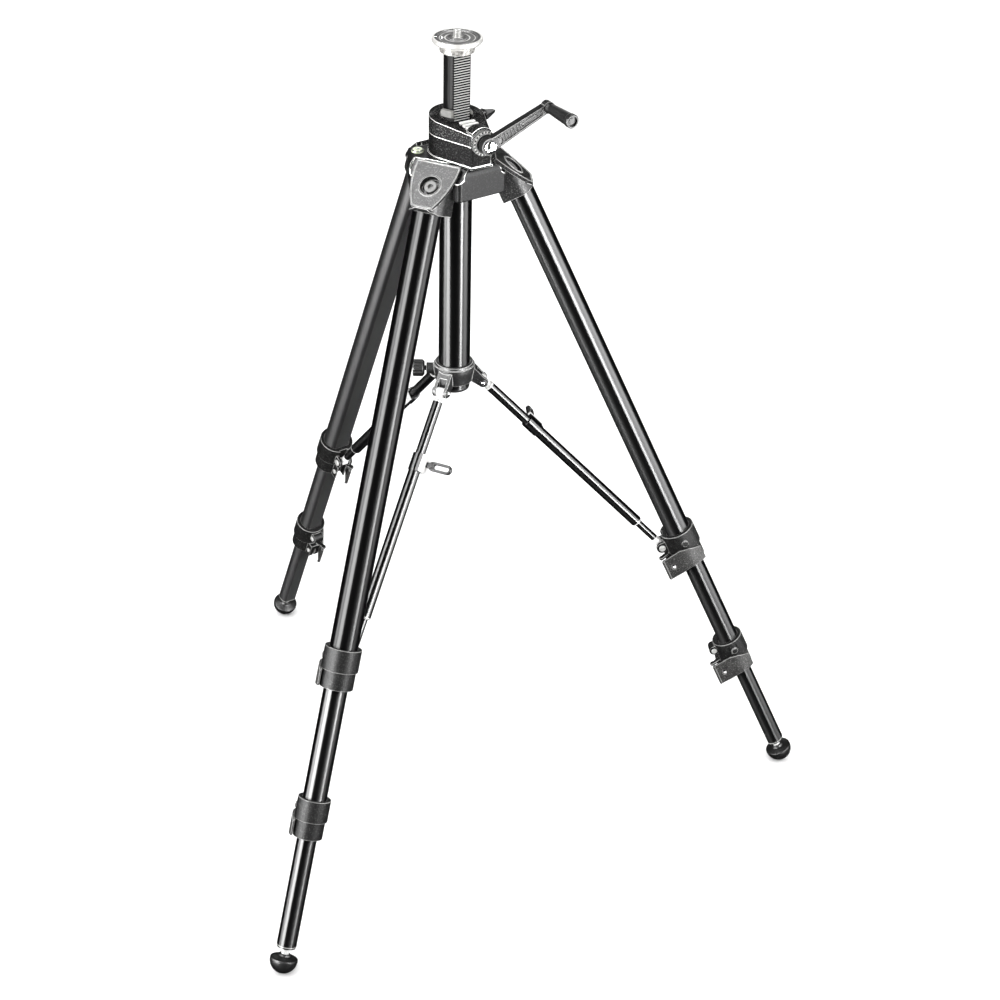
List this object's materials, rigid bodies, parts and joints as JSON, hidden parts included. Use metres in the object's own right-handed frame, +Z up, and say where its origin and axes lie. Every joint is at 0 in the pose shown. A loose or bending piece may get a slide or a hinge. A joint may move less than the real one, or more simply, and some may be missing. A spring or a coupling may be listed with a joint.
{
  "type": "geared column tripod",
  "caption": "Floor tripod with telescoping lever-locked legs, bracing struts on a lower hub and a crank-driven rack column with a round head plate and stud.",
  "frame": {"origin": "on the floor under the column's axis, midway between the three feet", "axes": "+Z up along the column; the front leg points along -Y, the right leg at 30 degrees and the back leg at 150 degrees from +X"},
  "size_m": [0.8314, 0.7247, 1.0699],
  "materials": {
    "black_casting": "black textured powder coat",
    "black_tube": "gloss black anodised",
    "column_metal": "satin black anodised",
    "plate_metal": "turned",
    "steel": "satin",
    "grey_lever": "fine grained",
    "black_plastic": "moulded",
    "bush_plastic": "moulded",
    "bubble_glass": "clear",
    "bright_chrome": "polished",
    "foot_rubber": "moulded"
  },
  "bodies": {
    "shoulder": {"spider": "black_casting", "housing_base": "black_casting", "housing_cover": "black_casting", "housing_screws": "steel", "column_bush": "bush_plastic", "sleeve_tube": "black_tube", "sleeve_end_cap": "black_casting", "spreader_hub": "black_casting", "spirit_level": "bubble_glass", "pivot_pins": "steel"},
    "column": {"geared_column": "column_metal", "head_plate": "plate_metal", "head_stud": "steel"},
    "drive_gear": {"drive_gear": "steel"},
    "crank": {"crank_shaft": "steel", "crank_arm": "black_casting", "crank_cap": "bright_chrome"},
    "crank_grip": {"crank_grip": "black_plastic"},
    "tension_dial": {"tension_dial": "black_plastic"},
    "column_lock": {"column_lock": "black_plastic"},
    "hub_knob": {"hub_knob": "black_plastic"},
    "front_leg_upper": {"front_leg_top_casting": "black_casting", "front_leg_top_bolt": "steel", "front_leg_upper_tube": "black_tube", "front_leg_upper_collar": "black_casting"},
    "front_upper_lever": {"front_leg_upper_lever": "grey_lever"},
    "front_leg_mid": {"front_leg_mid_tube": "black_tube", "front_leg_lower_collar": "black_casting"},
    "front_lower_lever": {"front_leg_lower_lever": "grey_lever"},
    "front_leg_low": {"front_leg_low_tube": "black_tube", "front_leg_rubber_foot": "foot_rubber"},
    "front_strut_inner": {"front_strut_inner": "black_tube"},
    "front_strut_outer": {"front_strut_outer": "black_tube"},
    "front_strut_lever": {"front_strut_lever": "black_plastic"},
    "right_leg_upper": {"right_leg_top_casting": "black_casting", "right_leg_top_bolt": "steel", "right_leg_upper_tube": "black_tube", "right_leg_upper_collar": "black_casting"},
    "right_upper_lever": {"right_leg_upper_lever": "grey_lever"},
    "right_leg_mid": {"right_leg_mid_tube": "black_tube", "right_leg_lower_collar": "black_casting"},
    "right_lower_lever": {"right_leg_lower_lever": "grey_lever"},
    "right_leg_low": {"right_leg_low_tube": "black_tube", "right_leg_rubber_foot": "foot_rubber"},
    "right_strut_inner": {"right_strut_inner": "black_tube"},
    "right_strut_outer": {"right_strut_outer": "black_tube"},
    "right_strut_lever": {"right_strut_lever": "black_plastic"},
    "back_leg_upper": {"back_leg_top_casting": "black_casting", "back_leg_top_bolt": "steel", "back_leg_upper_tube": "black_tube", "back_leg_upper_collar": "black_casting"},
    "back_upper_lever": {"back_leg_upper_lever": "grey_lever"},
    "back_leg_mid": {"back_leg_mid_tube": "black_tube", "back_leg_lower_collar": "black_casting"},
    "back_lower_lever": {"back_leg_lower_lever": "grey_lever"},
    "back_leg_low": {"back_leg_low_tube": "black_tube", "back_leg_rubber_foot": "foot_rubber"},
    "back_strut_inner": {"back_strut_inner": "black_tube"},
    "back_strut_outer": {"back_strut_outer": "black_tube"},
    "back_strut_lever": {"back_strut_lever": "black_plastic"}
  },
  "joints": [
    {"name": "column_slide", "type": "slide", "parent": "shoulder", "child": "column", "axis": [0, 0, 1], "range_m": [-0.066, 0.22]},
    {"name": "gear_spin", "type": "hinge", "parent": "shoulder", "child": "drive_gear", "pos_m": [0.01711, -0.01111, 0.936], "axis": [0.5446, 0.8387, 0], "range_deg": [-421, 1402]},
    {"name": "crank_spin", "type": "hinge", "parent": "shoulder", "child": "crank", "pos_m": [0, 0, 0.951], "axis": [0.8387, -0.5446, 0], "range_deg": [-4203, 1262]},
    {"name": "grip_spin", "type": "hinge", "parent": "crank", "child": "crank_grip", "pos_m": [0.11904, 0.01805, 0.98396], "axis": [0.8387, -0.5446, 0], "continuous": true},
    {"name": "dial_turn", "type": "hinge", "parent": "shoulder", "child": "tension_dial", "pos_m": [0.05032, -0.03268, 0.951], "axis": [0.8387, -0.5446, 0], "range_deg": [0, 180]},
    {"name": "lock_turn", "type": "hinge", "parent": "shoulder", "child": "column_lock", "pos_m": [0.01368, 0.03759, 0.9535], "axis": [0.342, 0.9397, 0], "range_deg": [0, 180]},
    {"name": "hub_knob_turn", "type": "hinge", "parent": "shoulder", "child": "hub_knob", "pos_m": [-0.03595, -0.01753, 0.627], "axis": [-0.8988, -0.4384, 0], "range_deg": [0, 360]},
    {"name": "front_leg_fold", "type": "hinge", "parent": "shoulder", "child": "front_leg_upper", "pos_m": [0, -0.049, 0.9], "axis": [1, 0, 0], "range_deg": [0, 21.8]},
    {"name": "front_leg_upper_slide", "type": "slide", "parent": "front_leg_upper", "child": "front_leg_mid", "axis": [0, -0.4112, -0.9115], "range_m": [-0.136, 0.285]},
    {"name": "front_leg_lower_slide", "type": "slide", "parent": "front_leg_mid", "child": "front_leg_low", "axis": [0, -0.4112, -0.9115], "range_m": [-0.13, 0.315]},
    {"name": "front_upper_lever_open", "type": "hinge", "parent": "front_leg_upper", "child": "front_upper_lever", "pos_m": [-0.01182, -0.28107, 0.33277], "axis": [0, -0.4112, -0.9115], "range_deg": [0, 100]},
    {"name": "front_lower_lever_open", "type": "hinge", "parent": "front_leg_mid", "child": "front_lower_lever", "pos_m": [-0.00965, -0.36053, 0.15909], "axis": [0, -0.4112, -0.9115], "range_deg": [0, 100]},
    {"name": "front_strut_swing", "type": "hinge", "parent": "shoulder", "child": "front_strut_inner", "pos_m": [0, -0.036, 0.61], "axis": [1, 0, 0], "range_deg": [0, 39.45]},
    {"name": "front_strut_slide", "type": "slide", "parent": "front_strut_inner", "child": "front_strut_outer", "axis": [0, -0.6901, -0.7237], "range_m": [-0.04989, 0]},
    {"name": "front_strut_lever_turn", "type": "hinge", "parent": "front_strut_outer", "child": "front_strut_lever", "pos_m": [0.015, -0.10092, 0.54192], "axis": [0, 0.7237, -0.6901], "range_deg": [0, 85]},
    {"name": "right_leg_fold", "type": "hinge", "parent": "shoulder", "child": "right_leg_upper", "pos_m": [0.04244, 0.0245, 0.9], "axis": [-0.5, 0.866, 0], "range_deg": [0, 21.8]},
    {"name": "right_leg_upper_slide", "type": "slide", "parent": "right_leg_upper", "child": "right_leg_mid", "axis": [0.3561, 0.2056, -0.9115], "range_m": [-0.136, 0.285]},
    {"name": "right_leg_lower_slide", "type": "slide", "parent": "right_leg_mid", "child": "right_leg_low", "axis": [0.3561, 0.2056, -0.9115], "range_m": [-0.13, 0.315]},
    {"name": "right_upper_lever_open", "type": "hinge", "parent": "right_leg_upper", "child": "right_upper_lever", "pos_m": [0.24932, 0.1303, 0.33277], "axis": [0.3561, 0.2056, -0.9115], "range_deg": [0, 100]},
    {"name": "right_lower_lever_open", "type": "hinge", "parent": "right_leg_mid", "child": "right_lower_lever", "pos_m": [0.31705, 0.17191, 0.15909], "axis": [0.3561, 0.2056, -0.9115], "range_deg": [0, 100]},
    {"name": "right_strut_swing", "type": "hinge", "parent": "shoulder", "child": "right_strut_inner", "pos_m": [0.03118, 0.018, 0.61], "axis": [-0.5, 0.866, 0], "range_deg": [0, 39.45]},
    {"name": "right_strut_slide", "type": "slide", "parent": "right_strut_inner", "child": "right_strut_outer", "axis": [0.5976, 0.345, -0.7237], "range_m": [-0.04989, 0]},
    {"name": "right_strut_lever_turn", "type": "hinge", "parent": "right_strut_outer", "child": "right_strut_lever", "pos_m": [0.0799, 0.06345, 0.54192], "axis": [-0.6268, -0.3619, -0.6901], "range_deg": [0, 85]},
    {"name": "back_leg_fold", "type": "hinge", "parent": "shoulder", "child": "back_leg_upper", "pos_m": [-0.04244, 0.0245, 0.9], "axis": [-0.5, -0.866, 0], "range_deg": [0, 21.8]},
    {"name": "back_leg_upper_slide", "type": "slide", "parent": "back_leg_upper", "child": "back_leg_mid", "axis": [-0.3561, 0.2056, -0.9115], "range_m": [-0.136, 0.285]},
    {"name": "back_leg_lower_slide", "type": "slide", "parent": "back_leg_mid", "child": "back_leg_low", "axis": [-0.3561, 0.2056, -0.9115], "range_m": [-0.13, 0.315]},
    {"name": "back_upper_lever_open", "type": "hinge", "parent": "back_leg_upper", "child": "back_upper_lever", "pos_m": [-0.2375, 0.15077, 0.33277], "axis": [-0.3561, 0.2056, -0.9115], "range_deg": [0, 100]},
    {"name": "back_lower_lever_open", "type": "hinge", "parent": "back_leg_mid", "child": "back_lower_lever", "pos_m": [-0.30741, 0.18862, 0.15909], "axis": [-0.3561, 0.2056, -0.9115], "range_deg": [0, 100]},
    {"name": "back_strut_swing", "type": "hinge", "parent": "shoulder", "child": "back_strut_inner", "pos_m": [-0.03118, 0.018, 0.61], "axis": [-0.5, -0.866, 0], "range_deg": [0, 39.45]},
    {"name": "back_strut_slide", "type": "slide", "parent": "back_strut_inner", "child": "back_strut_outer", "axis": [-0.5976, 0.345, -0.7237], "range_m": [-0.04989, 0]},
    {"name": "back_strut_lever_turn", "type": "hinge", "parent": "back_strut_outer", "child": "back_strut_lever", "pos_m": [-0.0949, 0.03747, 0.54192], "axis": [0.6268, -0.3619, -0.6901], "range_deg": [0, 85]}
  ],
  "couplings": [
    {"joint": "gear_spin", "follows": "column_slide", "rad_per_m": 111.11},
    {"joint": "crank_spin", "follows": "column_slide", "rad_per_m": -333.33},
    {"joint": "front_strut_swing", "follows": "front_leg_fold", "ratio": 1.8005},
    {"joint": "front_strut_slide", "follows": "front_leg_fold", "m_per_rad": -0.13061},
    {"joint": "right_strut_swing", "follows": "right_leg_fold", "ratio": 1.8005},
    {"joint": "right_strut_slide", "follows": "right_leg_fold", "m_per_rad": -0.13061},
    {"joint": "back_strut_swing", "follows": "back_leg_fold", "ratio": 1.8005},
    {"joint": "back_strut_slide", "follows": "back_leg_fold", "m_per_rad": -0.13061}
  ]
}
